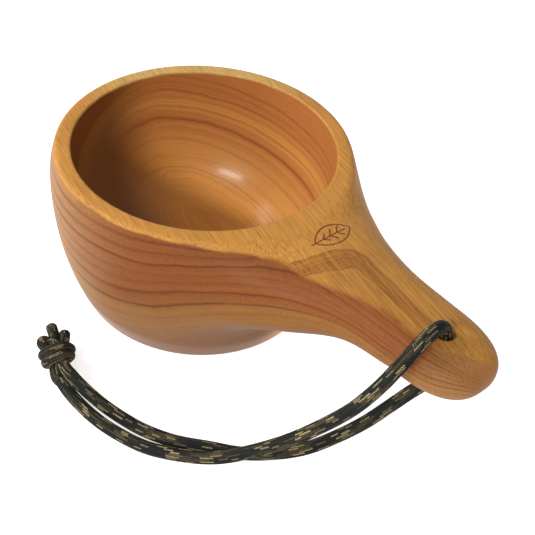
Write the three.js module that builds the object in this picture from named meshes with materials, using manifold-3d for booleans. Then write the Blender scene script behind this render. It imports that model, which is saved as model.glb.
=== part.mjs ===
// Kuksa: a drinking cup carved from one block of wood, with a cord loop through the end of its handle.
// Millimetres, +Z up. The origin is the centre of the cup's flat foot, and the handle points along +X.
import * as THREE from 'three';
import { mergeVertices } from 'three/addons/utils/BufferGeometryUtils.js';
import Module from 'manifold-3d';

// Bowl: half an upright ellipsoid above and below its widest level, cut flat at the rim and the foot.
const RIM_HEIGHT = 50;
const BOWL_RADIUS = 43;
const WIDEST_LEVEL = 40.5;
const BOWL_DEPTH_BELOW = 66.5;
const BOWL_DEPTH_ABOVE = 35;

// Cavity: a rounded well, straight-sided at the rim.
const MOUTH_RADIUS = 37;
const FLOOR_THICKNESS = 7;
const CAVITY_ROUNDNESS = 2.8;

// Handle: half width, top and underside at five stations, then a rounded end.
const FIRST_STATION = 24;
const STATION_STEP = 15;
const HALF_WIDTHS = [32, 27.5, 19.5, 13.5, 12];
const TOPS = [51.5, 50, 49, 49.6, 49.6];
const UNDERSIDES = [10.5, 18.5, 26, 33.5, 36];
const HANDLE_END = 104.5;
const HANDLE_SQUARENESS = 2.6;
const HANDLE_START_DEPTH = 20;
const BLEND = 7;

// Cord: one braided cord, its two legs meeting halfway down the bore.
const BORE_X = 90.2;
const BORE_RADIUS = 2.6;
const BORE_MIDDLE = 43;
const CORD_RADIUS = 1.75;
const GAP = 0.3;

// Knot: a barrel lying on the table, with the two cut ends of the cord beyond it.
const KNOT_START = new THREE.Vector3(10.2, -58.9, 5.1);
const KNOT_HEADING = THREE.MathUtils.degToRad(145);
const KNOT_AXIS = new THREE.Vector3(Math.cos(KNOT_HEADING), Math.sin(KNOT_HEADING), 0);
const KNOT_LENGTH = 12.5;
const KNOT_RADIUS = 5;
const TAIL_GAP = 0.8;

const RINGS = 60;
const RING_POINTS = 44;

const wasm = await Module();
wasm.setup();

const wood = new THREE.MeshStandardMaterial({ color: 0xb9854b, roughness: 0.45, metalness: 0 });
const cordWeave = new THREE.MeshStandardMaterial({ color: 0x26261c, roughness: 0.85, metalness: 0 });
const cordEnd = new THREE.MeshStandardMaterial({ color: 0x1b1712, roughness: 0.6, metalness: 0 });

const part = new THREE.Group();

function addMesh(name, geometry, material) {
  const mesh = new THREE.Mesh(geometry, material);
  mesh.name = name;
  part.add(mesh);
}

function toSolid(geometry) {
  geometry.deleteAttribute('normal');
  geometry.deleteAttribute('uv');
  const merged = mergeVertices(geometry, 1e-4);
  return new wasm.Manifold(new wasm.Mesh({
    numProp: 3,
    vertProperties: new Float32Array(merged.attributes.position.array),
    triVerts: new Uint32Array(merged.index.array),
  }));
}

function toGeometry(solid) {
  const mesh = solid.getMesh();
  const geometry = new THREE.BufferGeometry();
  geometry.setAttribute('position', new THREE.BufferAttribute(mesh.vertProperties, 3));
  geometry.setIndex(new THREE.BufferAttribute(mesh.triVerts, 1));
  return geometry;
}

// A smooth curve through values given at the stations, held level beyond the first and last.
function alongHandle(x, values) {
  const last = values.length - 1;
  const place = THREE.MathUtils.clamp((x - FIRST_STATION) / STATION_STEP, 0, last - 1e-9);
  const i = Math.floor(place);
  const f = place - i;
  const before = i > 0 ? values[i - 1] : 2 * values[0] - values[1];
  const after = i + 2 <= last ? values[i + 2] : 2 * values[last] - values[last - 1];
  const [a, b] = [values[i], values[i + 1]];
  const bend = 2 * before - 5 * a + 4 * b - after;
  const twist = 3 * (a - b) + after - before;
  return a + 0.5 * f * (b - before + f * (bend + f * twist));
}

// Both shape functions are negative inside the wood and roughly a distance in millimetres near it.
function bowlShape(x, y, z) {
  const depth = z < WIDEST_LEVEL ? BOWL_DEPTH_BELOW : BOWL_DEPTH_ABOVE;
  const level = (z - WIDEST_LEVEL) / depth;
  return BOWL_RADIUS * (Math.hypot(Math.hypot(x, y) / BOWL_RADIUS, level) - 1);
}

function handleShape(x, y, z) {
  const top = alongHandle(x, TOPS);
  const underside = alongHandle(x, UNDERSIDES);
  const halfWidth = alongHandle(x, HALF_WIDTHS);
  const halfHeight = (top - underside) / 2;
  const endStart = FIRST_STATION + (HALF_WIDTHS.length - 1) * STATION_STEP;
  const end = x > 0 ? Math.max(x - endStart, 0) / (HANDLE_END - endStart) : -x / HANDLE_START_DEPTH;
  const across = Math.abs(y) / halfWidth;
  const up = Math.abs(z - (top + underside) / 2) / halfHeight;
  const n = HANDLE_SQUARENESS;
  const size = (across ** n + up ** n + end ** n) ** (1 / n);
  return (size - 1) * Math.min(halfHeight, halfWidth);
}

// The handle runs into the bowl with a soft fillet.
function outerShape(x, y, z) {
  const bowl = bowlShape(x, y, z);
  const handle = handleShape(x, y, z);
  const share = THREE.MathUtils.clamp(0.5 + 0.5 * (handle - bowl) / BLEND, 0, 1);
  return handle * (1 - share) + bowl * share - BLEND * share * (1 - share);
}

// Distance from an inside point to the outer surface, straight out along a direction.
function reachOut(origin, direction) {
  let inside = 0;
  let outside = 120;
  while (outside - inside > 1e-4) {
    const middle = (inside + outside) / 2;
    const p = origin.clone().addScaledVector(direction, middle);
    if (outerShape(p.x, p.y, p.z) < 0) inside = middle;
    else outside = middle;
  }
  return inside;
}

// A sphere's rings, strung along the cup from its back to the tip of the handle and pushed out to the surface.
function outerGeometry() {
  const sphere = new THREE.SphereGeometry(1, RING_POINTS, RINGS);
  sphere.rotateZ(-Math.PI / 2);
  const position = sphere.attributes.position;
  const back = -reachOut(new THREE.Vector3(0, 0, WIDEST_LEVEL), new THREE.Vector3(-1, 0, 0));
  const spineEnd = new THREE.Vector3(0, 0, (TOPS.at(-1) + UNDERSIDES.at(-1)) / 2);
  const tip = reachOut(spineEnd, new THREE.Vector3(1, 0, 0));
  for (let i = 0; i < position.count; i++) {
    const unit = new THREE.Vector3().fromBufferAttribute(position, i);
    const x = THREE.MathUtils.mapLinear(unit.x, -1, 1, back, tip);
    const spineHeight = THREE.MathUtils.mapLinear(x, back, tip, WIDEST_LEVEL, spineEnd.z);
    const spine = new THREE.Vector3(x, 0, spineHeight);
    const across = Math.hypot(unit.y, unit.z);
    if (across > 1e-6) {
      const direction = new THREE.Vector3(0, unit.y / across, unit.z / across);
      spine.addScaledVector(direction, reachOut(spine, direction));
    }
    position.setXYZ(i, spine.x, spine.y, spine.z);
  }
  return sphere;
}

function slabGeometry() {
  const slab = new THREE.BoxGeometry(400, 400, RIM_HEIGHT);
  slab.translate(0, 0, RIM_HEIGHT / 2);
  return slab;
}

function cavityGeometry() {
  const depth = RIM_HEIGHT - FLOOR_THICKNESS;
  const steps = 12;
  const profile = [];
  for (let i = 0; i <= steps; i++) {
    const angle = (i / steps) * (Math.PI / 2);
    const radius = MOUTH_RADIUS * Math.sin(angle) ** (2 / CAVITY_ROUNDNESS);
    const below = depth * Math.cos(angle) ** (2 / CAVITY_ROUNDNESS);
    profile.push(new THREE.Vector2(i === 0 ? 0 : radius, RIM_HEIGHT - (i === steps ? 0 : below)));
  }
  const above = RIM_HEIGHT + 10;
  profile.push(new THREE.Vector2(MOUTH_RADIUS, above));
  profile.push(new THREE.Vector2(0, above));
  return new THREE.LatheGeometry(profile, 48).rotateX(Math.PI / 2);
}

function boreGeometry() {
  const bore = new THREE.CylinderGeometry(BORE_RADIUS, BORE_RADIUS, 60, 16);
  bore.rotateX(Math.PI / 2);
  bore.translate(BORE_X, 0, BORE_MIDDLE);
  return bore;
}

function cordGeometry(points) {
  const path = new THREE.CatmullRomCurve3(points.map((p) => new THREE.Vector3(...p)));
  const section = new THREE.Shape();
  const sides = 10;
  for (let i = 0; i < sides; i++) {
    const angle = (i / sides) * 2 * Math.PI;
    const [x, y] = [CORD_RADIUS * Math.cos(angle), CORD_RADIUS * Math.sin(angle)];
    if (i === 0) section.moveTo(x, y);
    else section.lineTo(x, y);
  }
  const steps = Math.max(1, Math.round(path.getLength() / (2.2 * CORD_RADIUS)));
  return new THREE.ExtrudeGeometry(section, { steps, extrudePath: path, curveSegments: 1 });
}

// A point beside the knot's axis: along it from its start, and across it on the table.
function besideKnot(along, across) {
  const side = new THREE.Vector3(KNOT_AXIS.y, -KNOT_AXIS.x, 0);
  const point = KNOT_START.clone().addScaledVector(KNOT_AXIS, along).addScaledVector(side, across);
  return point.toArray();
}

function knotGeometry() {
  const faceRadius = 0.94 * KNOT_RADIUS;
  const shoulder = 1.5;
  const profile = [
    new THREE.Vector2(0, 0),
    new THREE.Vector2(faceRadius, 0),
    new THREE.Vector2(KNOT_RADIUS, shoulder),
    new THREE.Vector2(KNOT_RADIUS, KNOT_LENGTH - shoulder),
    new THREE.Vector2(faceRadius, KNOT_LENGTH),
    new THREE.Vector2(0, KNOT_LENGTH),
  ];
  const barrel = new THREE.LatheGeometry(profile, 20);
  barrel.applyQuaternion(new THREE.Quaternion().setFromUnitVectors(new THREE.Vector3(0, 1, 0), KNOT_AXIS));
  barrel.translate(...KNOT_START);
  return barrel;
}

const body = toSolid(outerGeometry())
  .intersect(toSolid(slabGeometry()))
  .subtract(toSolid(cavityGeometry()))
  .subtract(toSolid(boreGeometry()));
addMesh('cup_body', toGeometry(body), wood);

// The upper leg rises out of the bore, bends over the handle's edge and falls to the table.
addMesh('lanyard_upper_leg', cordGeometry([
  [BORE_X, 0, BORE_MIDDLE + GAP / 2],
  [BORE_X, 0, BORE_MIDDLE + 3],
  [BORE_X, -0.1, 48.8],
  [BORE_X + 0.2, -1.4, 51.8],
  [BORE_X + 0.4, -4.8, 53.4],
  [BORE_X + 0.7, -9.7, 52.5],
  [90.6, -15, 48.5],
  [89.1, -20.1, 42],
  [85.8, -24.2, 34.2],
  [80.2, -28, 25.2],
  [74, -32.2, 16.9],
  [67.3, -37.1, 10],
  [60.6, -42.8, 5.1],
  [52.8, -48.3, 2.6],
  [44.7, -53.7, 2],
  [35.2, -57.1, 2],
  [27.8, -58.5, 2],
  [21, -58.8, 2],
  [16, -58.6, 2],
  [12.7, -58.1, 2.1],
]), cordWeave);

// The lower leg hangs from the bore, runs under the upper one, and reaches the knot on top of it.
addMesh('lanyard_lower_leg', cordGeometry([
  [BORE_X, 0, BORE_MIDDLE - GAP / 2],
  [BORE_X, 0, BORE_MIDDLE - 3],
  [BORE_X, 0, 37],
  [89.2, -0.8, 31.4],
  [86.6, -3.2, 26.4],
  [84.4, -6.5, 22],
  [81, -10.9, 15.4],
  [76.8, -16.1, 9.4],
  [72.3, -22.2, 4.7],
  [67.1, -28.6, 2.4],
  [61.6, -35.2, 2],
  [54.9, -40.7, 2],
  [48.4, -46.1, 2],
  [40.7, -50.3, 2],
  [33, -52.7, 2],
  [26.4, -54.5, 2.8],
  [21.8, -55.8, 4.4],
  [18, -56.5, 5.5],
  [15.2, -56.7, 6.2],
]), cordWeave);

addMesh('lanyard_knot', knotGeometry(), cordWeave);
addMesh('lanyard_tail_a', cordGeometry([
  besideKnot(KNOT_LENGTH + TAIL_GAP, -1.3),
  besideKnot(KNOT_LENGTH + 5.5, -1.3),
]), cordEnd);
addMesh('lanyard_tail_b', cordGeometry([
  besideKnot(KNOT_LENGTH + TAIL_GAP, 3.1),
  besideKnot(KNOT_LENGTH + 4.5, 3.1),
]), cordEnd);

export default part;
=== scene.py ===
"""Kuksa: a lacquered wooden cup with a braided cord through its handle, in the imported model's frame.

Shapes are worked out in millimetres, as in the CAD source, and scaled to metres when a mesh is made.
The origin is the centre of the cup's foot, the handle points along +X, and +Z is up.
"""

import math

import bpy
import numpy as np
from mathutils import Matrix, Vector


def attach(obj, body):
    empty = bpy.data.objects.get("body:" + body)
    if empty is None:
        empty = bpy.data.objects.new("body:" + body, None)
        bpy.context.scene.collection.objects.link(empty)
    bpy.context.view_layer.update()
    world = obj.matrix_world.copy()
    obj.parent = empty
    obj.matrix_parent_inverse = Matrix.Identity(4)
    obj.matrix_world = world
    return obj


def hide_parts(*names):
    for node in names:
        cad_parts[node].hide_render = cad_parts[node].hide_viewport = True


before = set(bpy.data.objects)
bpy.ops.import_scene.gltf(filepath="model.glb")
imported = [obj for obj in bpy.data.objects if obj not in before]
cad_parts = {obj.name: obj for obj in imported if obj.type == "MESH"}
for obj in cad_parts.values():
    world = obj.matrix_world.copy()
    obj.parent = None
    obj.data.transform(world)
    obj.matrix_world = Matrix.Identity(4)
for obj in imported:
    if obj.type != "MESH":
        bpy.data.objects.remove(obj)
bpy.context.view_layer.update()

MM = 0.001

# Cup, as in the CAD source.
RIM_HEIGHT = 50.0
BOWL_RADIUS = 43.0
WIDEST_LEVEL = 40.5
BOWL_DEPTH_BELOW = 66.5
BOWL_DEPTH_ABOVE = 35.0
MOUTH_RADIUS = 37.0
FLOOR_THICKNESS = 7.0
CAVITY_ROUNDNESS = 2.8
FIRST_STATION = 24.0
STATION_STEP = 15.0
HALF_WIDTHS = [32, 27.5, 19.5, 13.5, 12]
TOPS = [51.5, 50, 49, 49.6, 49.6]
UNDERSIDES = [10.5, 18.5, 26, 33.5, 36]
HANDLE_END = 104.5
HANDLE_SQUARENESS = 2.6
HANDLE_START_DEPTH = 20.0
BLEND = 7.0
BORE_X = 90.2
BORE_RADIUS = 2.6

# Softened edges, which the CAD model leaves sharp.
RIM_EDGE = 1.2
FOOT_EDGE = 2.0
MOUTH_EDGE = 0.5
BORE_EDGE = 0.7

# Cord and knot, as in the CAD source.
CORD_RADIUS = 1.75
KNOT_START = np.array([10.2, -58.9, 5.1])
KNOT_HEADING = math.radians(145)
KNOT_AXIS = np.array([math.cos(KNOT_HEADING), math.sin(KNOT_HEADING), 0.0])
KNOT_SIDE = np.array([KNOT_AXIS[1], -KNOT_AXIS[0], 0.0])

UP = np.array([0.0, 0.0, 1.0])


# ---------------------------------------------------------------- camera

CAMERA_AZIMUTH = math.radians(44.35)
CAMERA_ELEVATION = math.radians(41.92)
CAMERA_ROLL = math.radians(6.36)
CAMERA_DISTANCE = 0.3078
CAMERA_FIELD = math.radians(27.34)
CAMERA_TARGET = Vector((0.0293, 0.0001, 0.025))


def add_camera():
    azimuth, elevation, roll = CAMERA_AZIMUTH, CAMERA_ELEVATION, CAMERA_ROLL
    forward = Vector((
        -math.sin(azimuth) * math.cos(elevation),
        math.cos(azimuth) * math.cos(elevation),
        -math.sin(elevation),
    ))
    level_right = Vector((math.cos(azimuth), math.sin(azimuth), 0))
    level_up = level_right.cross(forward)
    right = level_right * math.cos(roll) + level_up * math.sin(roll)
    up = level_up * math.cos(roll) - level_right * math.sin(roll)
    data = bpy.data.cameras.new("camera")
    data.sensor_fit = "HORIZONTAL"
    data.angle = CAMERA_FIELD
    data.clip_start = 0.01
    camera = bpy.data.objects.new("camera", data)
    rotation = Matrix((right, up, -forward)).transposed().to_4x4()
    camera.matrix_world = Matrix.Translation(CAMERA_TARGET - forward * CAMERA_DISTANCE) @ rotation
    bpy.context.collection.objects.link(camera)
    bpy.context.scene.camera = camera


# ---------------------------------------------------------------- meshes

def mesh_object(name, points, faces, smooth=True):
    """A mesh object from points in millimetres."""
    mesh = bpy.data.meshes.new(name)
    mesh.from_pydata((np.asarray(points) * MM).tolist(), [], [list(face) for face in faces])
    mesh.validate()
    mesh.polygons.foreach_set("use_smooth", [smooth] * len(mesh.polygons))
    mesh.update()
    piece = bpy.data.objects.new(name, mesh)
    bpy.context.collection.objects.link(piece)
    return piece


def grid_faces(rows, columns):
    """Quads between neighbouring rows of points, where each row is a closed ring."""
    row = np.arange(rows - 1)[:, None]
    column = np.arange(columns)[None, :]
    beside = (column + 1) % columns
    near = row * columns
    far = (row + 1) * columns
    quads = np.stack([near + column, near + beside, far + beside, far + column], axis=-1)
    return quads.reshape(-1, 4)


# ---------------------------------------------------------------- cord

LINE_SPACING = 0.125
CURVE_STEPS = 40
LEG_SOFTNESS = 2.0
STRAND_SOFTNESS = 0.6


def resampled(points, spacing):
    """The same line, with points evenly spaced along it."""
    points = np.asarray(points, float)
    steps = np.linalg.norm(np.diff(points, axis=0), axis=1)
    place = np.concatenate([[0], np.cumsum(steps)])
    count = max(2, int(round(place[-1] / spacing)) + 1)
    even = np.linspace(0, place[-1], count)
    return np.stack([np.interp(even, place, points[:, axis]) for axis in range(3)], axis=1)


def catmull_rom(points):
    """A fine line through the points."""
    points = np.asarray(points, float)
    p = np.concatenate([[2 * points[0] - points[1]], points, [2 * points[-1] - points[-2]]])
    fine = []
    f = np.linspace(0, 1, CURVE_STEPS, endpoint=False)[:, None]
    for i in range(1, len(p) - 2):
        a, b, c, d = p[i - 1], p[i], p[i + 1], p[i + 2]
        bend = 2 * a - 5 * b + 4 * c - d
        fine.append(b + 0.5 * f * (c - a + f * (bend + f * (3 * (b - c) + d - a))))
    fine.append(points[-1:])
    return np.concatenate(fine)


def smooth_line(points, softness):
    """One smooth curve close to the points, evened out over softness millimetres."""
    line = resampled(catmull_rom(points), LINE_SPACING)
    for _ in range(int((softness / LINE_SPACING) ** 2)):
        line[1:-1] += 0.25 * (line[:-2] - 2 * line[1:-1] + line[2:])
    return resampled(line, LINE_SPACING)


def tangents(line):
    direction = np.gradient(line, axis=0)
    return direction / np.linalg.norm(direction, axis=1, keepdims=True)


def carried_frame(line, first_side):
    """Two directions across the line at each point, carried along it without twist."""
    along = tangents(line)
    side = np.zeros_like(line)
    current = np.asarray(first_side, float)
    for i, t in enumerate(along):
        current = current - t * (current @ t)
        current = current / np.linalg.norm(current)
        side[i] = current
    return side, np.cross(along, side)


# The upper leg rises out of the bore, bends over the handle's edge and falls to the table.
UPPER_LEG = [
    (90.2, 0, 43.15),
    (90.2, 0, 46),
    (90.2, -0.1, 48.8),
    (90.4, -1.4, 51.8),
    (90.6, -4.8, 53.4),
    (90.9, -9.7, 52.5),
    (90.6, -15, 48.5),
    (89.1, -20.1, 42),
    (85.8, -24.2, 34.2),
    (80.2, -28, 25.2),
    (74, -32.2, 16.9),
    (67.3, -37.1, 10),
    (60.6, -42.8, 5.1),
    (52.8, -48.3, 2.6),
    (44.7, -53.7, 2),
    (35.2, -57.1, 2),
    (27.8, -58.5, 2),
    (21, -58.8, 2),
    (16, -58.6, 2),
    (12.7, -58.1, 2.1),
]

# The lower leg hangs from the bore, runs under the upper one, and reaches the knot on top of it.
LOWER_LEG = [
    (90.2, 0, 42.85),
    (90.2, 0, 40),
    (90.2, 0, 37),
    (89.2, -0.8, 31.4),
    (86.6, -3.2, 26.4),
    (84.4, -6.5, 22),
    (81, -10.9, 15.4),
    (76.8, -16.1, 9.4),
    (72.3, -22.2, 4.7),
    (67.1, -28.6, 2.4),
    (61.6, -35.2, 2),
    (54.9, -40.7, 2),
    (48.4, -46.1, 2),
    (40.7, -50.3, 2),
    (33, -52.7, 2),
    (26.4, -54.5, 2.8),
    (21.8, -55.8, 4.4),
    (18, -56.5, 5.5),
    (15.2, -56.7, 6.2),
]

# The weave: stitches in columns round the cord, which lean by turns and stand a half stitch apart.
BRAID_COLUMNS = 20
BRAID_SIDES = 80
BRAID_PITCH = 0.54
BRAID_RELIEF = 0.13
BRAID_LEAN = 0.45
STITCH_DROP_ACROSS = 0.9
STITCH_DROP_ALONG = 0.8
SWELL_AT_RADIUS = 0.75

# Painted shade in the gaps between stitches: where it begins, how far it fades, how sharply, and how dark it
# is.
GAP_SWELL = 0.62
GAP_FADE = 0.3
GAP_SHARPNESS = 1.5
GAP_SHADE_TONE = 0.6

YARN_BLACK = (0.006, 0.007, 0.007)
YARN_GREEN = (0.015, 0.019, 0.011)
YARN_OLIVE = (0.060, 0.052, 0.022)
YARN_BROWN = (0.100, 0.055, 0.018)
YARN_TAN = (0.40, 0.31, 0.15)
YARN_MELTED = (0.012, 0.009, 0.007)

# Patches of colour along each column are the sum of two waves, and each yarn shows above its own height.
PATCHES = [(-0.4, YARN_GREEN), (0.5, YARN_OLIVE), (1.15, YARN_BROWN)]
PATCH_SHIFT = (0, 30)
SHORT_WAVE = 2.9
LONG_WAVE = 5.3
LONG_WAVE_HEIGHT = 0.8
LONG_WAVE_SHIFT = 1.7

# Rows of tan stitches: where the first starts, how many stitches a row and a gap have, and their strength.
TAN_START = (0, 14)
TAN_ROW = (4, 8)
TAN_GAP = (8, 28)
TAN_STRENGTH = (0.25, 1.0)
STITCH_STRENGTH = (0.8, 1.2)


def yarn_colours(column, stitch, seed):
    """A colour for each stitch: dark yarns, patches of olive and brown, and short rows of tan."""
    stitches = int(stitch.max()) + 2
    draw = np.random.default_rng(seed)
    colour = np.empty((BRAID_COLUMNS, stitches, 3))
    colour[:] = YARN_BLACK
    place = np.arange(stitches) * BRAID_PITCH
    for c in range(BRAID_COLUMNS):
        shift = draw.uniform(*PATCH_SHIFT)
        long_wave = LONG_WAVE_HEIGHT * np.sin((place - LONG_WAVE_SHIFT * c) / LONG_WAVE + c)
        patch = np.sin((place + shift) / SHORT_WAVE) + long_wave
        for height, yarn in PATCHES:
            colour[c, patch > height] = yarn
        start = draw.integers(*TAN_START)
        while start < stitches:
            run = draw.integers(*TAN_ROW)
            colour[c, start:start + run] = np.array(YARN_TAN) * draw.uniform(*TAN_STRENGTH)
            start += run + draw.integers(*TAN_GAP)
    colour *= draw.uniform(*STITCH_STRENGTH, (BRAID_COLUMNS, stitches, 1))
    return colour[column, stitch]


def braid_tube(name, line, radius, first_side, seed, scales=None, melted=0.0):
    """A woven tube along the line: columns of slanting stitches, leaning left and right by turns."""
    side, other = carried_frame(line, first_side)
    rings = len(line)
    spacing = np.linalg.norm(line[1] - line[0])
    angle = np.arange(BRAID_SIDES) / BRAID_SIDES * 2 * math.pi
    place = np.arange(rings) * spacing
    column_place = np.arange(BRAID_SIDES) / BRAID_SIDES * BRAID_COLUMNS
    column = np.floor(column_place + 0.5).astype(int) % BRAID_COLUMNS
    across = 2 * (column_place + 0.5 - np.floor(column_place + 0.5)) - 1
    lean = np.where(column % 2 == 0, 1.0, -1.0)
    slant = BRAID_LEAN * lean[None, :] * across[None, :]
    stagger = 0.5 * (column % 2)[None, :]
    phase = place[:, None] / BRAID_PITCH + slant + stagger
    stitch = np.floor(phase).astype(int)
    stitch -= stitch.min()
    within = 2 * (phase - np.floor(phase)) - 1
    swell_across = np.sqrt(np.clip(1 - STITCH_DROP_ACROSS * across[None, :] ** 2, 0, 1))
    swell_along = np.sqrt(np.clip(1 - STITCH_DROP_ALONG * within ** 2, 0, 1))
    swell = swell_across * swell_along
    reach = radius + BRAID_RELIEF * (swell - SWELL_AT_RADIUS)
    if scales is not None:
        reach = reach * np.asarray(scales)[:, None]
    points = (
        line[:, None, :]
        + side[:, None, :] * (np.cos(angle)[None, :] * reach)[..., None]
        + other[:, None, :] * (np.sin(angle)[None, :] * reach)[..., None]
    ).reshape(-1, 3)
    faces = [tuple(face) for face in grid_faces(rings, BRAID_SIDES)]
    faces.append(tuple(range(BRAID_SIDES))[::-1])
    faces.append(tuple((rings - 1) * BRAID_SIDES + i for i in range(BRAID_SIDES)))
    piece = mesh_object(name, points, faces)
    colours = yarn_colours(np.broadcast_to(column, stitch.shape), stitch, seed).reshape(-1, 3)
    # Painted shade: each stitch darkens into the gaps beside it.
    shown = np.clip((swell.reshape(-1, 1) - GAP_SWELL) / GAP_FADE, 0, 1) ** GAP_SHARPNESS
    colours = colours * shown + np.array(YARN_BLACK) * GAP_SHADE_TONE * (1 - shown)
    if melted:
        burnt = np.repeat(np.clip(1 - (place[-1] - place) / melted, 0, 1), BRAID_SIDES)[:, None]
        colours = colours * (1 - burnt) + np.array(YARN_MELTED) * burnt
    layer = piece.data.color_attributes.new("yarn", "FLOAT_COLOR", "POINT")
    opaque = np.ones((len(colours), 1))
    layer.data.foreach_set("color", np.concatenate([colours, opaque], axis=1).ravel())
    return piece


# ---------------------------------------------------------------- knot

# A loose overhand knot, as (along, across, up) from its middle, before it is scaled.
# Both strands of the cord follow it side by side.
LOOSE_KNOT = [
    (-30, 0, 0),
    (-10, 0, -1),
    (-4, 0, -2.5),
    (-0.5, 0, 0),
    (3, 0, 2.5),
    (7, 1, 0),
    (9, 4.5, -2.5),
    (7.5, 9, -1),
    (1, 11, 0),
    (-5, 7, 2),
    (-4, 0, 2.5),
    (-1, -5, 0),
    (1.5, -4, -2),
    (3, 0, -2.5),
    (4.5, 3, 0),
    (9, 4.5, 2.5),
    (15, 4, 1),
    (30, 2, 0),
]
LOOSE_SCALE = (1.5, 1.5, 1.95)
STRAND_OFFSET = 1.7
KNOT_TURN = math.radians(30)
KNOT_MIDDLE = 3.0

# Tightening: the strands pull straight between held ends, and push each other apart where they meet.
STRAND_SPACING = 1.3
PACKED_DISTANCE = 2.4
NEIGHBOUR_REACH = 1.6
PUSH_ROUNDS = 3
PUSH_SHARE = 0.35
TIGHTENING_STEPS = 3600
RESPACING_STEPS = 8
KNOT_FLOOR = 1.6
HELD_LENGTH = 8.0

# The tight knot is moved sideways, and the strands ease into that over the first few millimetres.
KNOT_SHIFT = 1.6
KNOT_SHIFT_RUN = 5.0

# Tails: where each strand is pulled to, how far along the knot its tail starts, and how long the tail is.
TAIL_ENDS = [
    KNOT_START + KNOT_AXIS * 21 - KNOT_SIDE * 0.7,
    KNOT_START + KNOT_AXIS * 20 + KNOT_SIDE * 4.2 - UP * 2.5,
]
TAIL_STARTS = (12.8, 12.8)
TAIL_LENGTHS = (4.4, 2.6)
TAIL_THICKNESS = 0.9
MELTED_LENGTH = 1.3

# Thickness of a strand by its distance into the knot, and of a melted tip by the distance from its end.
SQUEEZE = {0: 1.0, 4: 0.93, 8: 0.88}
TIP_ROUNDING = {0: 0.35, 0.15: 0.7, 0.4: 0.95, 0.8: 1.03, 1.4: 1.0}


def push_apart(points, first_count, fixed):
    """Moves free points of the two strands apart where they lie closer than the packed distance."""
    square = (points ** 2).sum(axis=1)
    apart = square[:, None] + square[None, :] - 2 * points @ points.T
    i, j = np.nonzero(np.triu(apart < PACKED_DISTANCE ** 2, 1))
    other_strand = (i < first_count) != (j < first_count)
    keep = other_strand | (j - i > NEIGHBOUR_REACH * PACKED_DISTANCE / STRAND_SPACING)
    i, j = i[keep], j[keep]
    for _ in range(PUSH_ROUNDS):
        gap = points[i] - points[j]
        distance = np.linalg.norm(gap, axis=1) + 1e-9
        push = np.clip(PACKED_DISTANCE - distance, 0, None) / distance * PUSH_SHARE
        np.add.at(points, i, (push * ~fixed[i])[:, None] * gap)
        np.add.at(points, j, (-push * ~fixed[j])[:, None] * gap)


def tied_strands(leg_lines, tail_ends):
    """The two strands of the knot, pulled tight between the ends of the legs and the tails."""
    turn = np.array([
        [1, 0, 0],
        [0, math.cos(KNOT_TURN), -math.sin(KNOT_TURN)],
        [0, math.sin(KNOT_TURN), math.cos(KNOT_TURN)],
    ])
    axes = np.stack([KNOT_AXIS, KNOT_SIDE, UP])
    middle = KNOT_START + KNOT_AXIS * KNOT_MIDDLE
    route = catmull_rom(np.array(LOOSE_KNOT) * LOOSE_SCALE)
    flow = np.gradient(route, axis=0)
    beside = np.stack([-flow[:, 1], flow[:, 0], np.zeros(len(flow))], axis=1)
    beside /= np.linalg.norm(beside, axis=1, keepdims=True)
    held = []
    strands = []
    for leg, offset in zip(leg_lines, (-STRAND_OFFSET, STRAND_OFFSET)):
        near = leg[-int(HELD_LENGTH / LINE_SPACING):]
        beyond = leg[-1:] + STRAND_SPACING * tangents(leg)[-1]
        held.append(np.concatenate([resampled(near, STRAND_SPACING), beyond]))
        loose = middle + (route + beside * offset) @ turn.T @ axes
        first = np.argmax((loose - KNOT_START) @ KNOT_AXIS > -1)
        strands.append(np.concatenate([held[-1], resampled(loose[first:], STRAND_SPACING)]))
    for step in range(TIGHTENING_STEPS):
        fixed = []
        for k in range(2):
            line = strands[k]
            count = len(held[k])
            line[count:-1] += 0.25 * (line[count - 1:-2] - 2 * line[count:-1] + line[count + 1:])
            line[-1] = tail_ends[k]
            if step % RESPACING_STEPS == 0:
                strands[k] = np.concatenate([held[k][:-1], resampled(line[count - 1:], STRAND_SPACING)])
            fixed.append(np.arange(len(strands[k])) < count)
        points = np.concatenate(strands)
        push_apart(points, len(strands[0]), np.concatenate(fixed))
        points[:, 2] = np.maximum(points[:, 2], KNOT_FLOOR)
        strands = [points[:len(strands[0])].copy(), points[len(strands[0]):].copy()]
    for strand in strands:
        along = (strand - KNOT_START) @ KNOT_AXIS
        inside = np.clip(along / KNOT_SHIFT_RUN + 0.5, 0, 1)
        strand -= KNOT_SHIFT * (inside ** 2 * (3 - 2 * inside))[:, None] * KNOT_SIDE
    return [strand[len(part) - 2:] for strand, part in zip(strands, held)]


# ---------------------------------------------------------------- wood

def smooth_min(a, b, k):
    share = np.clip(0.5 + 0.5 * (b - a) / k, 0, 1)
    return b * (1 - share) + a * share - k * share * (1 - share)


def smooth_max(a, b, k):
    return -smooth_min(-a, -b, k)


def along_handle(x, values):
    """A smooth curve through values at the handle's stations, held level beyond the first and last."""
    v = np.array([2 * values[0] - values[1], *values, 2 * values[-1] - values[-2]], float)
    place = np.clip((x - FIRST_STATION) / STATION_STEP, 0, len(values) - 1 - 1e-9)
    i = place.astype(int)
    f = place - i
    before, a, b, after = v[i], v[i + 1], v[i + 2], v[i + 3]
    bend = 2 * before - 5 * a + 4 * b - after
    return a + 0.5 * f * (b - before + f * (bend + f * (3 * (a - b) + after - before)))


def bowl_shape(x, y, z):
    depth = np.where(z < WIDEST_LEVEL, BOWL_DEPTH_BELOW, BOWL_DEPTH_ABOVE)
    across = np.hypot(x, y) / BOWL_RADIUS
    up = (z - WIDEST_LEVEL) / depth
    return (np.sqrt(across ** 2 + up ** 2) - 1) * BOWL_RADIUS


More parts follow.
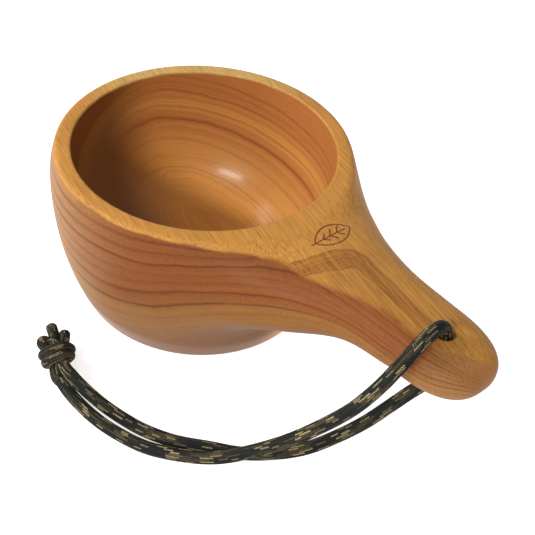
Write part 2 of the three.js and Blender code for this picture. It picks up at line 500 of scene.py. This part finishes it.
def handle_shape(x, y, z):
    top = along_handle(x, TOPS)
    underside = along_handle(x, UNDERSIDES)
    half_width = along_handle(x, HALF_WIDTHS)
    half_height = (top - underside) / 2
    end_start = FIRST_STATION + (len(TOPS) - 1) * STATION_STEP
    end = np.where(x > 0, np.maximum(x - end_start, 0) / (HANDLE_END - end_start), -x / HANDLE_START_DEPTH)
    n = HANDLE_SQUARENESS
    across = np.abs(y) / half_width
    up = np.abs(z - (top + underside) / 2) / half_height
    return ((across ** n + up ** n + end ** n) ** (1 / n) - 1) * np.minimum(half_height, half_width)


def wood_shape(x, y, z):
    """Negative inside the wood, and roughly a distance in millimetres near its surface."""
    outer = smooth_min(bowl_shape(x, y, z), handle_shape(x, y, z), BLEND)
    outer = smooth_max(outer, z - RIM_HEIGHT, RIM_EDGE)
    outer = smooth_max(outer, -z, FOOT_EDGE)
    n = CAVITY_ROUNDNESS
    depth = np.maximum(RIM_HEIGHT - z, 0) / (RIM_HEIGHT - FLOOR_THICKNESS)
    cavity = (((np.hypot(x, y) / MOUTH_RADIUS) ** n + depth ** n) ** (1 / n) - 1) * MOUTH_RADIUS
    hollow = smooth_max(outer, -cavity, MOUTH_EDGE)
    return smooth_max(hollow, BORE_RADIUS - np.hypot(x - BORE_X, y), BORE_EDGE)


def slope(points):
    """The shape's gradient at each point."""
    step = 0.05
    parts = []
    for axis in range(3):
        ahead, behind = points.copy(), points.copy()
        ahead[:, axis] += step
        behind[:, axis] -= step
        parts.append((wood_shape(*ahead.T) - wood_shape(*behind.T)) / (2 * step))
    return np.stack(parts, axis=1)


WOOD_CELL = 0.69
GRID_LOW = np.array([-45.0, -45.0, -1.5])
GRID_HIGH = np.array([106.0, 45.0, 51.5])
SETTLING_STEPS = 6
QUAD_CORNERS = ((0, 0), (1, 0), (1, 1), (0, 1))


def wood_surface(cell):
    """Quads on the shape's surface: one point in each grid cell that it crosses, then moved onto it."""
    axes = [np.arange(GRID_LOW[i], GRID_HIGH[i] + cell, cell) for i in range(3)]
    x, y, z = np.meshgrid(*axes, indexing="ij")
    inside = wood_shape(x, y, z) < 0
    corners = [
        inside[i:inside.shape[0] - 1 + i, j:inside.shape[1] - 1 + j, k:inside.shape[2] - 1 + k]
        for i in (0, 1) for j in (0, 1) for k in (0, 1)
    ]
    total = sum(corner.astype(int) for corner in corners)
    crossed = (total > 0) & (total < 8)
    number = np.full(crossed.shape, -1)
    number[crossed] = np.arange(crossed.sum())
    points = GRID_LOW + (np.argwhere(crossed) + 0.5) * cell
    for _ in range(SETTLING_STEPS):
        normal = slope(points)
        value = wood_shape(*points.T)
        step = np.clip(value / (normal ** 2).sum(axis=1), -0.5 * cell, 0.5 * cell)
        points = points - normal * step[:, None]
    faces = []
    unit = np.eye(3, dtype=int)
    for axis in range(3):
        ahead = np.take(inside, range(1, inside.shape[axis]), axis)
        behind = np.take(inside, range(inside.shape[axis] - 1), axis)
        place = np.argwhere(ahead != behind)
        leaving = behind[tuple(place.T)]
        u = unit[(axis + 1) % 3]
        v = unit[(axis + 2) % 3]
        quad = np.stack([number[tuple((place - a * u - b * v).T)] for a, b in QUAD_CORNERS], axis=1)
        quad[~leaving] = quad[~leaving][:, ::-1]
        faces.append(quad)
    return points, np.concatenate(faces)


def add_cup():
    points, faces = wood_surface(WOOD_CELL)
    piece = mesh_object("cup", points, faces)
    normals = slope(points)
    normals /= np.linalg.norm(normals, axis=1, keepdims=True)
    piece.data.normals_split_custom_set_from_vertices(normals.tolist())
    return piece


# A small burnt mark on the handle's root: a plain leaf, drawn in thin flat ribbons of char.
MARK_MIDDLE = (48.6, 2.8)
MARK_LENGTH = 12.0
MARK_WIDTH = 6.4
MARK_LINE_HALF_WIDTH = 0.18
MARK_RELIEF = 0.04
MARK_LINE_STEPS = 41
MARK_VEIN_STEPS = 12
MARK_EDGE_POWER = 0.8
MARK_STEM = (-1.25, 0.75)
MARK_VEIN_STARTS = (-0.55, -0.15, 0.25)
MARK_VEIN_RUN = 1.6
MARK_VEIN_REACH = 0.3
MARK_SETTLING_STEPS = 8


def mark_lines():
    """The leaf's lines, as (across the handle, along the handle) from its middle."""
    place = np.linspace(-1, 1, MARK_LINE_STEPS)
    half = MARK_LENGTH / 2
    edge = MARK_WIDTH / 2 * (1 - place ** 2) ** MARK_EDGE_POWER
    stem = np.linspace(*MARK_STEM, MARK_LINE_STEPS)
    lines = [
        np.stack([place * half, edge], axis=1),
        np.stack([place * half, -edge], axis=1),
        np.stack([stem * half, np.zeros(MARK_LINE_STEPS)], axis=1),
    ]
    for start in MARK_VEIN_STARTS:
        for lean in (-1, 1):
            reach = MARK_WIDTH * MARK_VEIN_REACH * (1 - start ** 2)
            vein = np.linspace(0, 1, MARK_VEIN_STEPS)[:, None] * np.array([[MARK_VEIN_RUN, lean * reach]])
            lines.append(np.array([[start * half, 0]]) + vein)
    return lines


def add_mark():
    """The mark's ribbons, laid on the wood from above, a little above and below its surface."""
    points = []
    faces = []
    for line in mark_lines():
        flow = np.gradient(line, axis=0)
        beside = np.stack([-flow[:, 1], flow[:, 0]], axis=1)
        beside /= np.linalg.norm(beside, axis=1, keepdims=True)
        corners = []
        for sign, lift in ((-1, -1), (1, -1), (1, 1), (-1, 1)):
            drawn = line + sign * MARK_LINE_HALF_WIDTH * beside
            x = MARK_MIDDLE[0] + drawn[:, 1]
            y = MARK_MIDDLE[1] + drawn[:, 0]
            spot = np.stack([x, y, np.full(len(line), RIM_HEIGHT)], axis=1)
            for _ in range(MARK_SETTLING_STEPS):
                spot[:, 2] -= wood_shape(*spot.T) / slope(spot)[:, 2]
            corners.append(spot + lift * MARK_RELIEF * UP)
        start = sum(len(ring) for ring in points)
        points.append(np.stack(corners, axis=1).reshape(-1, 3))
        count = len(line)
        faces += [tuple(face + start) for face in grid_faces(count, 4)]
        faces.append((start + 3, start + 2, start + 1, start))
        faces.append(tuple(start + 4 * (count - 1) + i for i in range(4)))
    return mesh_object("burnt_mark", np.concatenate(points), faces, smooth=False)


# ---------------------------------------------------------------- materials

class Nodes:
    """A short way to write a material's nodes."""

    def __init__(self, name):
        self.material = bpy.data.materials.new(name)
        self.material.use_nodes = True
        self.tree = self.material.node_tree
        self.tree.nodes.clear()

    def add(self, kind, inputs=None, **settings):
        node = self.tree.nodes.new(kind)
        for key, value in settings.items():
            setattr(node, key, value)
        for key, value in (inputs or {}).items():
            if isinstance(value, bpy.types.NodeSocket):
                self.tree.links.new(value, node.inputs[key])
            else:
                node.inputs[key].default_value = value
        return node

    def maths(self, operation, a, b=0.0, c=0.0):
        return self.add("ShaderNodeMath", {0: a, 1: b, 2: c}, operation=operation).outputs[0]

    def fade(self, value, start, end, low=0.0, high=1.0):
        """A smooth step from low to high as value goes from start to end."""
        inputs = {0: value, 1: start, 2: end, 3: low, 4: high}
        return self.add("ShaderNodeMapRange", inputs, interpolation_type="SMOOTHSTEP").outputs[0]

    def fade_linear(self, value, start, end, low=0.0, high=1.0):
        """A straight change from low to high as value goes from start to end."""
        return self.add("ShaderNodeMapRange", {0: value, 1: start, 2: end, 3: low, 4: high}).outputs[0]

    def grey(self, value):
        return self.add("ShaderNodeCombineXYZ", {0: value, 1: value, 2: value}).outputs[0]

    def mix(self, share, first, second, blend="MIX"):
        inputs = {0: share, 6: first, 7: second}
        return self.add("ShaderNodeMix", inputs, data_type="RGBA", blend_type=blend).outputs[2]

    def noise(self, vector, scale, detail=2.0, roughness=0.5):
        inputs = {"Vector": vector, "Scale": scale, "Detail": detail, "Roughness": roughness}
        return self.add("ShaderNodeTexNoise", inputs).outputs[0]

    def stretched(self, vector, scale, turn=0.0):
        inputs = {"Vector": vector, "Rotation": (0, 0, turn), "Scale": scale}
        return self.add("ShaderNodeMapping", inputs).outputs[0]

    def ramp(self, value, stops):
        node = self.add("ShaderNodeValToRGB", {0: value})
        elements = node.color_ramp.elements
        elements[0].position, elements[0].color = stops[0][0], (*stops[0][1], 1)
        elements[1].position, elements[1].color = stops[-1][0], (*stops[-1][1], 1)
        for place, colour in stops[1:-1]:
            elements.new(place).color = (*colour, 1)
        return node.outputs[0]

    def finish(self, shader):
        output = self.add("ShaderNodeOutputMaterial")
        self.tree.links.new(shader.outputs[0], output.inputs[0])
        return self.material


GOLDEN = (0.355, 0.160, 0.032)
GOLDEN_DARK = (0.19, 0.064, 0.011)
# Painted sheen on the back of the rim.
BACK_SHEEN_YELLOW = (0.40, 0.25, 0.080)
RED_BROWN = (0.165, 0.049, 0.010)
PALE = (0.205, 0.083, 0.018)
PINKISH = (0.165, 0.068, 0.023)
INNER_RED = (0.35, 0.120, 0.032)
INNER_GOLD = (0.45, 0.190, 0.044)
INNER_FLOOR = (0.62, 0.250, 0.030)
# Painted sheen on the left of the outside.
LEFT_SHEEN_TAN = (0.33, 0.180, 0.075)
END_TAN = (0.25, 0.125, 0.042)
LINE = (0.075, 0.020, 0.005)
VESSEL = (0.075, 0.025, 0.006)
CHAR_DARK = (0.070, 0.016, 0.006)
CHAR_RED = (0.170, 0.040, 0.014)

# Growth layers that show as dark lines: level, strength and half width.
FRONT_LINES = [
    (44.3, 0.3, 0.25),
    (45.45, 0.9, 0.2),
    (46.4, 0.8, 0.16),
    (47.1, 0.4, 0.14),
    (47.6, 0.5, 0.12),
    (48.15, 0.9, 0.12),
    (48.65, 0.5, 0.12),
    (49.1, 0.7, 0.12),
]
BACK_LINES = [
    (17, 0.25, 0.5),
    (20, 0.2, 0.5),
    (24.7, 0.3, 0.6),
    (28, 0.2, 0.4),
    (31.5, 0.5, 1.0),
    (36, 0.35, 0.7),
    (39.3, 0.3, 0.5),
    (41.7, 0.35, 0.4),
    (44.2, 0.3, 0.5),
    (46.9, 0.4, 0.6),
]


def line_stops(lines, low, high):
    """Ramp stops that are white on each line and black between them."""
    stops = [(0.0, (0, 0, 0))]
    for level, strength, half_width in lines:
        for place, grey in ((level - half_width, 0), (level, strength), (level + half_width, 0)):
            stops.append(((place - low) / (high - low), (grey, grey, grey)))
    stops.append((1.0, (0, 0, 0)))
    return stops


# Ground colours by growth level, from the first level of a span to the last.
FRONT_GROUND_SPAN = (36.0, 52.0)
FRONT_GROUND = [
    (0.0, PINKISH),
    (0.25, PINKISH),
    (0.45, PALE),
    (0.56, PALE),
    (0.63, RED_BROWN),
    (0.90, RED_BROWN),
    (0.95, GOLDEN_DARK),
    (1.0, GOLDEN_DARK),
]
BACK_GROUND_SPAN = (0.0, 56.0)
BACK_GROUND = [
    (0.0, INNER_FLOOR),
    (0.40, INNER_GOLD),
    (0.58, INNER_RED),
    (0.66, INNER_GOLD),
    (0.74, INNER_RED),
    (1.0, INNER_RED),
]
FRONT_LINE_SPAN = (43.0, 50.0)
BACK_LINE_SPAN = (14.0, 50.0)

# The layers differ at the back and at the front, where the camera is. Each pair is (back, front).
SIDE_FADE = 10.0
LAYER_ARCH = (0.004, 0.178)
LAYER_CLOSING = (0.0, 0.0036)
LAYER_DIP = (0.1, 0.0)
LAYER_WANDER = (2.2, 0.35)
LAYER_CROWDING = (0.9, 3.2)

# Most of a noise texture lies between these two values.
NOISE_SPAN = (0.3, 0.7)

FIBRE_TURN = math.radians(12)

# The level top begins to turn golden at the first level, and is golden from the second up.
TOP_START = 48.75
TOP_FULL = 49.55

# Arches of the figure on the handle: where the apex is, how far its side leans, and how the run along falls.
OUTER_ARCH = {"apex": 54.0, "lean": 0.35, "run": 3.1, "fall": 0.19, "from": 66.0}
INNER_ARCH = {"apex": 61.0, "lean": 0.50, "run": -1.0, "fall": 0.14, "from": 63.0}
ARCH_ROUNDING = 8.0


class WoodPlace:
    """Where each point of the wood is, in millimetres, and how far from the bowl's axis."""

    def __init__(self, n):
        place = n.add("ShaderNodeTexCoord").outputs["Object"]
        self.mm = n.add("ShaderNodeVectorMath", {0: place, 3: 1 / MM}, operation="SCALE").outputs[0]
        parts = n.add("ShaderNodeSeparateXYZ", {0: self.mm})
        self.x = parts.outputs[0]
        self.y = parts.outputs[1]
        self.z = parts.outputs[2]
        self.y_square = n.maths("MULTIPLY", self.y, self.y)
        self.from_axis = n.maths("SQRT", n.maths("MULTIPLY_ADD", self.x, self.x, self.y_square))
        self.along_fibres = n.stretched(self.mm, (1, 1, 1), FIBRE_TURN)


def by_side(n, at, back, front):
    """A value that changes smoothly from the cup's back to its front."""
    return n.fade(at.y, SIDE_FADE, -SIDE_FADE, back, front)


def growth_level(n, at):
    """How high up among the growth layers each point is."""
    sway = n.noise(n.stretched(at.mm, (0.012, 0.035, 0.05)), 1.0, 2.0)
    ripple = n.noise(n.stretched(at.along_fibres, (0.02, 0.25, 0.25)), 1.0, 3.0)
    arched = n.maths("MULTIPLY", by_side(n, at, *LAYER_ARCH), at.y_square)
    dipping = n.maths("MULTIPLY", by_side(n, at, *LAYER_DIP), at.x)
    raised = n.maths("ADD", at.z, n.maths("ADD", arched, dipping))
    closing = n.maths("MULTIPLY_ADD", by_side(n, at, *LAYER_CLOSING), at.y_square, 1.0)
    level = n.maths("DIVIDE", raised, closing)
    wander = by_side(n, at, *LAYER_WANDER)
    level = n.maths("MULTIPLY_ADD", n.maths("SUBTRACT", sway, 0.5), n.maths("MULTIPLY", wander, 2.0), level)
    return n.maths("MULTIPLY_ADD", n.maths("SUBTRACT", ripple, 0.5), n.maths("MULTIPLY", wander, 0.5), level)


def layered_colour(n, at):
    """The colour where the growth layers are cut across: red-brown above, paler below, with dark lines."""
    level = growth_level(n, at)
    front = by_side(n, at, 0.0, 1.0)
    front_ground = n.ramp(n.fade_linear(level, *FRONT_GROUND_SPAN), FRONT_GROUND)
    back_ground = n.ramp(n.fade_linear(level, *BACK_GROUND_SPAN), BACK_GROUND)
    ground = n.mix(front, back_ground, front_ground)

    crowded = n.maths("MULTIPLY", level, by_side(n, at, *LAYER_CROWDING))
    banding = n.noise(n.add("ShaderNodeCombineXYZ", {2: crowded}).outputs[0], 1.0, 3.0, 0.7)
    band_tone = n.fade_linear(banding, *NOISE_SPAN, 0.80, 1.16)
    ground = n.mix(1.0, ground, n.grey(band_tone), "MULTIPLY")

    # Painted sheen: a paler tan on the left of the outside. Tan on the handle's end.
    outside = n.fade(at.from_axis, 37.0, 39.0)
    left_sheen_share = n.maths("MULTIPLY", n.fade(at.x, 22.0, -22.0, 0.0, 0.7), outside)
    ground = n.mix(left_sheen_share, ground, (*LEFT_SHEEN_TAN, 1))
    ground = n.mix(n.fade(at.x, 88.0, 98.0, 0.0, 0.55), ground, (*END_TAN, 1))

    front_lines = n.ramp(n.fade_linear(level, *FRONT_LINE_SPAN), line_stops(FRONT_LINES, *FRONT_LINE_SPAN))
    back_lines = n.ramp(n.fade_linear(level, *BACK_LINE_SPAN), line_stops(BACK_LINES, *BACK_LINE_SPAN))
    lines = n.mix(front, back_lines, front_lines)
    fading = n.fade(n.noise(n.stretched(at.mm, (0.05, 0.05, 0.1)), 1.0), 0.35, 0.6, 0.65, 1.0)
    return n.mix(n.maths("MULTIPLY", lines, fading), ground, (*LINE, 1))


def on_top(n, at, uneven):
    """One on the level top, which runs down to the handle's front edge and over its far side."""
    front_edge = n.maths("MULTIPLY", n.fade(at.x, 22.0, 55.0, 0.0, 1.7), n.fade(at.x, 54.0, 82.0, 1.0, 0.0))
    far_side = n.maths("MULTIPLY", n.fade(at.y, -5.0, 9.0, 0.0, 5.0), n.fade(at.from_axis, 39.0, 41.0))
    at_mouth = n.fade(at.from_axis, 39.0, 37.5, 0.0, 0.45)
    lowered = n.maths("SUBTRACT", n.maths("ADD", front_edge, far_side), at_mouth)
    top_level = n.maths("ADD", n.maths("MULTIPLY_ADD", uneven, 1.4, at.z), lowered)
    return n.fade(top_level, TOP_START, TOP_FULL)


def arch_field(n, at, wavy, arch):
    """Positive inside an arch, in millimetres from its edge."""
    run = n.maths("MULTIPLY_ADD", n.maths("SUBTRACT", at.x, arch["from"]), -arch["fall"], arch["run"])
    from_run = n.maths("SUBTRACT", run, at.y)
    apex = n.maths("MULTIPLY_ADD", at.y, arch["lean"], arch["apex"])
    from_apex = n.maths("SUBTRACT", at.x, apex)
    inside = n.maths("SMOOTH_MIN", from_run, from_apex, ARCH_ROUNDING)
    return n.maths("ADD", inside, wavy)


def ridge(n, value, half_width):
    """One where value is zero, fading to nothing at half_width on each side."""
    return n.fade(n.maths("ABSOLUTE", value), half_width, 0.0)


def top_colour(n, at, uneven):
    """Golden wood with its figure: two arches, one inside the other, that run on along the handle."""
    wavy = n.maths("MULTIPLY", uneven, 4.0)
    outer_arch = arch_field(n, at, wavy, OUTER_ARCH)
    inner_arch = arch_field(n, at, wavy, INNER_ARCH)
    streaks = n.noise(n.stretched(at.along_fibres, (0.03, 1.1, 1.1)), 1.0, 3.0, 0.6)
    ring_place = n.add("ShaderNodeCombineXYZ", {2: n.maths("MULTIPLY", outer_arch, 1.1)}).outputs[0]
    rings = n.noise(ring_place, 1.0, 3.0)
    ringed = n.fade(rings, 0.38, 0.6, 0.45, 1.0)
    streaked = n.maths("MULTIPLY", ringed, n.fade(streaks, 0.40, 0.62, 0.7, 1.0))

    # Dark between the two arches and along their edges, and a little inside the inner one.
    beyond = n.fade(at.x, 84.0, 92.0, 1.0, 0.3)
    between = n.maths("MULTIPLY", n.fade(outer_arch, -0.5, 0.9), n.fade(inner_arch, 1.2, -1.0))
    inside = n.maths("MULTIPLY", n.fade(inner_arch, -0.5, 1.0), 0.3)
    shade = n.maths("MULTIPLY", n.maths("MAXIMUM", n.maths("MULTIPLY", between, 0.95), inside), streaked)
    colour = n.mix(n.maths("MULTIPLY", shade, beyond), (*GOLDEN, 1), (*GOLDEN_DARK, 1))
    inner_ridge = n.maths("MULTIPLY", ridge(n, inner_arch, 0.5), 0.8)
    edge = n.maths("MAXIMUM", ridge(n, outer_arch, 0.6), inner_ridge)
    broken = n.fade(streaks, 0.35, 0.6, 0.35, 0.6)
    edge_share = n.maths("MULTIPLY", n.maths("MULTIPLY", edge, beyond), broken)
    colour = n.mix(edge_share, colour, (*LINE, 1))

    # A little darker along the handle, and a painted sheen: yellowish on the back of the rim.
    along_handle_tone = n.fade(at.x, 46.0, 62.0, 1.0, 0.84)
    colour = n.mix(1.0, colour, n.grey(along_handle_tone), "MULTIPLY")
    back_sheen_share = n.maths("MULTIPLY", n.fade(at.x, 5.0, -22.0, 0.0, 0.85), n.fade(at.y, -18.0, 8.0))
    return n.mix(back_sheen_share, colour, (*BACK_SHEEN_YELLOW, 1))


def vessel_share(n, at, outside):
    """How dark the cut vessels are: short thin slits along the fibres, in crowds, on the outside."""
    cells = n.stretched(at.along_fibres, (0.07, 1.0, 1.0))
    voronoi = n.add("ShaderNodeTexVoronoi", {"Vector": cells, "Scale": 1.5}, feature="F1")
    crowd = n.noise(n.stretched(at.along_fibres, (0.03, 0.12, 0.12)), 1.0, 2.0)
    width = n.fade_linear(crowd, 0.35, 0.65, 0.08, 0.24)
    depth = n.maths("SUBTRACT", 1.0, n.maths("DIVIDE", voronoi.outputs["Distance"], width))
    return n.maths("MULTIPLY", n.fade(depth, 0.0, 0.6, 0.0, 0.75), outside)


def wood_material():
    n = Nodes("lacquered_wood")
    at = WoodPlace(n)
    patches = n.noise(n.stretched(at.along_fibres, (0.05, 0.16, 0.16)), 1.0, 2.0)
    uneven = n.maths("SUBTRACT", patches, 0.5)
    top_share = on_top(n, at, uneven)
    colour = n.mix(top_share, layered_colour(n, at), top_colour(n, at, uneven))

    # Fine grain along the fibres, and the cut vessels.
    grain = n.noise(n.stretched(at.along_fibres, (0.07, 2.4, 2.4)), 1.0, 4.0, 0.6)
    outside = n.fade(at.from_axis, 36.6, 37.6, 0.15, 1.0)
    contrast = n.maths("MULTIPLY", outside, n.maths("MULTIPLY_ADD", top_share, 0.14, 0.10))
    contrast = n.maths("ADD", contrast, 0.06)
    tone = n.maths("MULTIPLY_ADD", n.fade_linear(grain, *NOISE_SPAN, -1.0, 1.0), contrast, 1.0)
    colour = n.mix(1.0, colour, n.grey(tone), "MULTIPLY")
    vessels = vessel_share(n, at, outside)
    colour = n.mix(vessels, colour, (*VESSEL, 1))

    # Glossier inside the bowl than outside.
    height = n.maths("MULTIPLY_ADD", vessels, -0.6, grain)
    bump = n.add("ShaderNodeBump", {"Strength": 0.12, "Distance": 0.0002, "Height": height}).outputs[0]
    satin = n.fade(at.from_axis, 36.5, 38.0, 0.0, 0.12)
    roughness = n.maths("ADD", n.fade_linear(grain, *NOISE_SPAN, 0.36, 0.46), satin)
    shader = n.add("ShaderNodeBsdfPrincipled", {
        "Base Color": colour,
        "Roughness": roughness,
        "Normal": bump,
        "Specular IOR Level": 0.12,
        "Coat Weight": n.fade(at.from_axis, 36.5, 38.0, 0.18, 0.0),
        "Coat Roughness": 0.2,
    })
    return n.finish(shader)


def char_material():
    n = Nodes("burnt_wood")
    place = n.add("ShaderNodeTexCoord").outputs["Object"]
    tone = n.fade_linear(n.noise(place, 2500.0, 3.0), *NOISE_SPAN)
    colour = n.mix(tone, (*CHAR_DARK, 1), (*CHAR_RED, 1))
    shader = n.add("ShaderNodeBsdfPrincipled", {
        "Base Color": colour,
        "Roughness": 0.6,
        "Specular IOR Level": 0.2,
    })
    return n.finish(shader)


def braid_material():
    n = Nodes("braided_cord")
    yarn = n.add("ShaderNodeAttribute", attribute_name="yarn").outputs["Color"]
    place = n.add("ShaderNodeTexCoord").outputs["Object"]
    fibres = n.noise(place, 9000.0, 2.0)
    tone = n.fade_linear(fibres, *NOISE_SPAN, 0.8, 1.2)
    colour = n.mix(1.0, yarn, n.grey(tone), "MULTIPLY")
    bump = n.add("ShaderNodeBump", {"Strength": 0.3, "Distance": 0.0001, "Height": fibres}).outputs[0]
    shader = n.add("ShaderNodeBsdfPrincipled", {
        "Base Color": colour,
        "Roughness": 0.7,
        "Normal": bump,
        "Specular IOR Level": 0.15,
    })
    return n.finish(shader)


def floor_material():
    n = Nodes("white_floor")
    place = n.add("ShaderNodeTexCoord").outputs["Object"]
    shade = n.fade_linear(n.noise(place, 40.0), *NOISE_SPAN, 0.60, 0.62)
    shader = n.add("ShaderNodeBsdfPrincipled", {
        "Base Color": n.grey(shade),
        "Roughness": 0.8,
        "Specular IOR Level": 0.2,
        "Emission Color": (1, 1, 1, 1),
        "Emission Strength": 0.7,
    })
    return n.finish(shader)


# ---------------------------------------------------------------- floor and light

FLOOR_REACH = 3000.0
WORLD_STRENGTH = 0.7

# Each softbox: its name, place, target and size in metres, and its power in watts.
SOFTBOXES = [
    ("key", (-0.85, -0.55, 0.75), (0, 0, 0.03), (0.6, 0.6), 12.5),
    ("window", (0.15, -0.47, 0.36), (-0.015, 0.025, 0.02), (0.24, 0.04), 2.8),
]


def add_floor():
    points = [(a * FLOOR_REACH, b * FLOOR_REACH, 0) for a, b in ((-1, -1), (1, -1), (1, 1), (-1, 1))]
    floor = mesh_object("floor", points, [(0, 1, 2, 3)], smooth=False)
    floor.data.materials.append(floor_material())


def add_softbox(name, place, target, size, power):
    data = bpy.data.lights.new(name, "AREA")
    data.shape = "RECTANGLE"
    data.size, data.size_y = size
    data.energy = power
    light = bpy.data.objects.new(name, data)
    light.location = place
    light.rotation_euler = (Vector(target) - Vector(place)).to_track_quat("-Z", "Y").to_euler()
    bpy.context.collection.objects.link(light)


def add_light():
    world = bpy.data.worlds.new("studio")
    world.use_nodes = True
    background = world.node_tree.nodes["Background"]
    background.inputs[0].default_value = (1, 1, 1, 1)
    background.inputs[1].default_value = WORLD_STRENGTH
    bpy.context.scene.world = world
    for softbox in SOFTBOXES:
        add_softbox(*softbox)
    bpy.context.scene.view_settings.view_transform = "Standard"


# ---------------------------------------------------------------- assembly

# The braid's first side on every piece of cord, and the seeds of their yarn colours.
FIRST_SIDE = (1, 0, 0)
LEG_SEEDS = (11, 12)
KNOT_SEEDS = (21, 22)
TAIL_SEEDS = (31, 32)


def by_distance(distance, table):
    """A value for each distance, on straight lines between the table's entries."""
    return np.interp(distance, list(table), list(table.values()))


def knot_and_tail(k, strand):
    """One strand of the knot as a woven tube, and the tail that goes on from it."""
    line = smooth_line(strand, STRAND_SOFTNESS)
    beyond = (line - KNOT_START) @ KNOT_AXIS > TAIL_STARTS[k]
    knot_end = len(line) - np.argmin(beyond[::-1])
    tail_end = knot_end + int(TAIL_LENGTHS[k] / LINE_SPACING)
    squeezed = by_distance(np.arange(knot_end + 1) * LINE_SPACING, SQUEEZE)
    knot_piece = braid_tube(
        "knot_strand_%d" % (k + 1), line[:knot_end + 1], CORD_RADIUS, FIRST_SIDE, KNOT_SEEDS[k], squeezed)
    tail_line = line[knot_end:tail_end]
    from_end = (len(tail_line) - 1 - np.arange(len(tail_line))) * LINE_SPACING
    thickness = TAIL_THICKNESS * by_distance(from_end, TIP_ROUNDING)
    tail = braid_tube(
        "tail_%d" % (k + 1), tail_line, CORD_RADIUS, FIRST_SIDE, TAIL_SEEDS[k], thickness, MELTED_LENGTH)
    return knot_piece, tail


add_camera()
add_floor()
add_light()

braid = braid_material()
leg_lines = [smooth_line(UPPER_LEG, LEG_SOFTNESS), smooth_line(LOWER_LEG, LEG_SOFTNESS)]
upper_leg = braid_tube("cord_upper_leg", leg_lines[0], CORD_RADIUS, FIRST_SIDE, LEG_SEEDS[0])
lower_leg = braid_tube("cord_lower_leg", leg_lines[1], CORD_RADIUS, FIRST_SIDE, LEG_SEEDS[1])
knot_pieces = []
tails = []
for k, strand in enumerate(tied_strands(leg_lines, TAIL_ENDS)):
    knot_piece, tail = knot_and_tail(k, strand)
    knot_pieces.append(knot_piece)
    tails.append(tail)
for piece in (upper_leg, lower_leg, *knot_pieces, *tails):
    piece.data.materials.append(braid)
    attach(piece, "root")

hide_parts("lanyard_upper_leg")
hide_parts("lanyard_lower_leg")
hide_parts("lanyard_knot")
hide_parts("lanyard_tail_a")
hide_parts("lanyard_tail_b")

cup = add_cup()
cup.data.materials.append(wood_material())
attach(cup, "root")
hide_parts("cup_body")

mark = add_mark()
mark.data.materials.append(char_material())
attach(mark, "root")
